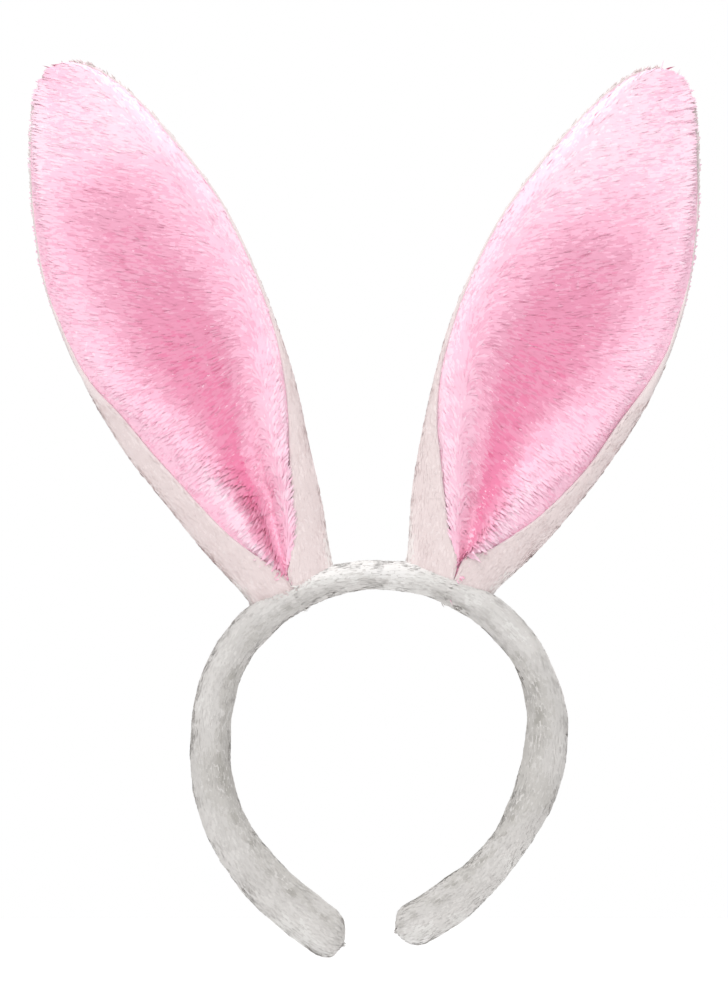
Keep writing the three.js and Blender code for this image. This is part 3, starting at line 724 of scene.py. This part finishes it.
def tuftTone(tree, given, swirl):
    # the cloth's tone, made uneven by the clumps and by chance
    luck = put(tree, "FunctionNodeRandomValue",
               {2: -pileGrowth["toneLuck"], 3: pileGrowth["toneLuck"], "Seed": pileGrowth["luckSeed"]},
               data_type="FLOAT").outputs[1]
    blotches = number(tree, "MULTIPLY_ADD", number(tree, "ADD", swirl.outputs["Fac"], -0.5), 2.0, luck)
    return number(tree, "MULTIPLY_ADD", blotches, given["Tone spread"], readAttribute(tree, "pileTone"))


def setTones(tree, given, geometry, materials):
    # one material for each whole step of tone, paler towards the tip of a tuft: the darker root is painted
    # shade between the tufts
    shade = number(tree, "MULTIPLY_ADD", readAttribute(tree, "towardsTip"), given["Tip gain"],
                   readAttribute(tree, "tone"))
    flow = put(tree, "GeometryNodeSetMaterial", {"Geometry": geometry, "Material": materials[0]}).outputs[0]
    for level, material in enumerate(materials[1:]):
        above = put(tree, "FunctionNodeCompare", {0: shade, 1: level + 0.5}, data_type="FLOAT",
                    operation="GREATER_THAN").outputs[0]
        flow = put(tree, "GeometryNodeSetMaterial", {"Geometry": flow, "Selection": above,
                                                     "Material": material}).outputs[0]
    return flow


def pileTree(name, materials):
    # tufts scattered over a cloth that carries its comb direction, tone, length and amount of pile
    tree = bpy.data.node_groups.new(name, "GeometryNodeTree")
    for label, kind in pileInputs:
        tree.interface.new_socket(label, in_out="INPUT", socket_type="NodeSocket" + kind)
    tree.interface.new_socket("Pile", in_out="OUTPUT", socket_type="NodeSocketGeometry")
    given = put(tree, "NodeGroupInput").outputs
    grown = number(tree, "GREATER_THAN", readAttribute(tree, "pileAmount"), pileGrowth["grownAbove"])
    spots = put(tree, "GeometryNodeDistributePointsOnFaces",
                {"Mesh": given["Cloth"], "Density": number(tree, "MULTIPLY", given["Tufts per m2"], grown),
                 "Seed": given["Seed"]})
    normal = spots.outputs["Normal"]
    swirl = clumpNoise(tree, given)
    marked = storeAttribute(tree, spots.outputs["Points"], "tone", tuftTone(tree, given, swirl), "FLOAT")
    facing = storeAttribute(tree, marked, "clothFacing", normal, "FLOAT_VECTOR")
    lock = put(tree, "GeometryNodeObjectInfo", {"Object": given["Tuft"]})
    placed = put(tree, "GeometryNodeInstanceOnPoints",
                 {"Points": facing, "Instance": lock.outputs["Geometry"],
                  "Rotation": tuftRotation(tree, given, normal, swirl), "Scale": tuftSize(tree, given)})
    real = put(tree, "GeometryNodeRealizeInstances", {"Geometry": placed.outputs[0]}).outputs[0]
    put(tree, "NodeGroupOutput", {"Pile": setTones(tree, given, real, materials)})
    return tree


softShading = {"most": 0.9, "from": -0.35, "over": 0.6}


def softenShading(mesh):
    # fibres scatter light like the cloth they stand on, so a face that looks the same way as the cloth is
    # shaded mostly as the cloth is, and a face that looks another way keeps its own shading
    clothFacing = np.zeros(len(mesh.vertices) * 3, np.float32)
    mesh.attributes["clothFacing"].data.foreach_get("vector", clothFacing)
    corners = np.zeros(len(mesh.loops), np.int32)
    mesh.loops.foreach_get("vertex_index", corners)
    clothFacing = clothFacing.reshape(-1, 3)[corners]
    faceNormals, sides = np.zeros(len(mesh.polygons) * 3, np.float32), np.zeros(len(mesh.polygons), np.int32)
    mesh.polygons.foreach_get("normal", faceNormals)
    mesh.polygons.foreach_get("loop_total", sides)
    own = np.repeat(faceNormals.reshape(-1, 3), sides, axis=0)
    agreement = (own * clothFacing).sum(1)
    share = softShading["most"] * smooth((agreement - softShading["from"]) / softShading["over"])[:, None]
    soft = own * (1 - share) + clothFacing * share
    soft /= np.maximum(np.linalg.norm(soft, axis=1), 1e-6)[:, None]
    mesh.normals_split_custom_set(soft.tolist())


def growPile(name, cloth, tree, settings):
    # run the tree on a copy of the cloth and keep the result as a plain mesh
    grower = bpy.data.objects.new(name + "Grower", cloth.data.copy())
    bpy.context.scene.collection.objects.link(grower)
    modifier = grower.modifiers.new("pile", "NODES")
    modifier.node_group = tree
    sockets = {item.name: item.identifier for item in tree.interface.items_tree if item.in_out == "INPUT"}
    modifier[sockets["Tuft"]] = tuft
    for label, value in settings.items():
        modifier[sockets[label]] = value
    bpy.context.view_layer.update()
    mesh = bpy.data.meshes.new_from_object(grower.evaluated_get(bpy.context.evaluated_depsgraph_get()))
    mesh.name = name
    softenShading(mesh)
    for label in ("tone", "towardsTip", "combDirection", "pileTone", "pileLength", "pileAmount",
                  "clothFacing"):
        if label in mesh.attributes:
            mesh.attributes.remove(mesh.attributes[label])
    piece = bpy.data.objects.new(name, mesh)
    bpy.context.scene.collection.objects.link(piece)
    bpy.data.objects.remove(grower)
    print(name, len(mesh.polygons), "faces")
    return piece


tuft = tuftObject()
pinkTree = pileTree("pinkPileTree", pinkPile)
whiteTree = pileTree("whitePileTree", whitePile)
earWhiteTree = pileTree("earWhitePileTree", earWhitePile)
print("pile trees made")

pinkPileSettings = {"Tufts per m2": 1.35e6, "Length": 4.2 * mm, "Width": 1.15 * mm, "Lean": 9.0,
                    "Ruffle": 0.35, "Clump": 2.2, "Clump size": 6 * mm, "Streak stretch": 3.5,
                    "Streak tilt": 0.25, "Tone spread": 0.8, "Tip gain": 0.3, "Seed": 11}
whitePileSettings = {"Tufts per m2": 1.2e6, "Length": 2.4 * mm, "Width": 0.85 * mm, "Lean": 8.5,
                     "Ruffle": 0.38, "Clump": 2.0, "Clump size": 7 * mm, "Streak stretch": 1.0,
                     "Streak tilt": 0.0, "Tone spread": 0.7, "Tip gain": 0.2, "Seed": 23}

for side in ("left", "right"):
    foot, up, _, outward = earFrame(side)
    back, front = earPads(side)
    # the streaks of the pink pile rise outwards on both ears
    pinkHere = dict(pinkPileSettings, **{"Streak tilt": -outward * pinkPileSettings["Streak tilt"]})
    backPile = growPile(side + "EarBackPile", back, earWhiteTree, whitePileSettings)
    frontPile = growPile(side + "EarInnerPile", front, pinkTree, pinkHere)
    for piece, slotName in ((back, "white_plush"), (backPile, "white_plush"), (front, "pink_plush"),
                            (frontPile, "pink_plush")):
        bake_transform(piece)
    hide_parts(side + "_ear_back", side + "_ear_root", side + "_ear_edge_seam",
                side + "_ear_front_stitch", side + "_ear_back_stitch")
    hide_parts(side + "_ear_inner")
    print(side, "ear made")

crownLeft, crownRight = band["crownSpan"]
overlap = band["crownOverlap"]
sleeves = {
    "crown": sleeveMesh("sleeveCrownCloth", crownLeft - overlap, crownRight + overlap, False),
    "left": sleeveMesh("leftSleeveCloth", crownLeft, -band["left"]["end"], True),
    "right": sleeveMesh("rightSleeveCloth", crownRight, band["right"]["end"], True),
}
sleeveSeeds = {"crown": 36, "left": 35, "right": 36}
for key, cloth in sleeves.items():
    pile = growPile(key + "SleevePile", cloth, whiteTree, dict(whitePileSettings, Seed=sleeveSeeds[key]))
    for piece in (cloth, pile):
        if key == "crown":
            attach(piece, "crown")
        else:
            sign = -1 if key == "left" else 1
            begin = bandCentre(sign * (band["flexAngle"] - band["flexReach"])) * mm
            finish = bandCentre(sign * (band["flexAngle"] + band["flexReach"])) * mm
            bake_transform(piece)
    if key == "crown":
        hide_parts("sleeve_crown", "sleeve_seam_crown")
    else:
        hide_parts(key + "_sleeve", key + "_sleeve_seam", key + "_tip_stitch")
bpy.data.objects.remove(tuft)
print("sleeves made")

# white surroundings in metres: a pale floor clear of the tips, four large soft lights and an even white sky
studio = {"floorZ": -0.165, "floorSize": 1.0, "floorColour": "#FAFAFA", "ambient": 0.62}
softLights = {
    "keyLight": {"place": (-0.3, -0.9, 1.1), "aim": (0, 0, 0.05), "size": 0.9, "power": 9.0},
    "fillLight": {"place": (0.3, -1.5, 0.3), "aim": (0, 0, 0.05), "size": 0.9, "power": 2.0},
    "topLight": {"place": (0, 0.1, 1.6), "aim": (0, 0, -0.14), "size": 1.2, "power": 10.5},
    "backLight": {"place": (0.5, 1.6, 0.4), "aim": (0, 0, 0.05), "size": 0.9, "power": 5.0},
}

floorPaint = newMaterial("paintedFloorWhite", {"Base Color": linear(studio["floorColour"]),
                                               "Roughness": 0.9})[0]
reach, floorZ = studio["floorSize"] / 2, studio["floorZ"]
floorCorners = [(x * reach, y * reach, floorZ) for x, y in ((-1, -1), (1, -1), (1, 1), (-1, 1))]
floor = meshObject("floor", floorCorners, [(0, 1, 2, 3)], [floorPaint])

for name, light in softLights.items():
    data = bpy.data.lights.new(name, "AREA")
    data.shape = "DISK"
    data.size = light["size"]
    data.energy = light["power"]
    lamp = bpy.data.objects.new(name, data)
    lamp.location = light["place"]
    lamp.rotation_euler = (Vector(light["aim"]) - Vector(light["place"])).to_track_quat("-Z", "Y").to_euler()
    bpy.context.scene.collection.objects.link(lamp)

# the sky is pure white to the camera and gives the object only part of that light
world = bpy.data.worlds.new("studioWorld")
bpy.context.scene.world = world
world.use_nodes = True
sky = world.node_tree
sky.nodes.clear()
path = put(sky, "ShaderNodeLightPath")
seen = put(sky, "ShaderNodeBackground", {"Color": (1, 1, 1, 1), "Strength": 1.0})
lit = put(sky, "ShaderNodeBackground", {"Color": (1, 1, 1, 1), "Strength": studio["ambient"]})
choose = put(sky, "ShaderNodeMixShader",
             {0: path.outputs["Is Camera Ray"], 1: lit.outputs[0], 2: seen.outputs[0]})
put(sky, "ShaderNodeOutputWorld", {"Surface": choose.outputs[0]})
bpy.context.scene.view_settings.view_transform = "Standard"
print("studio made")
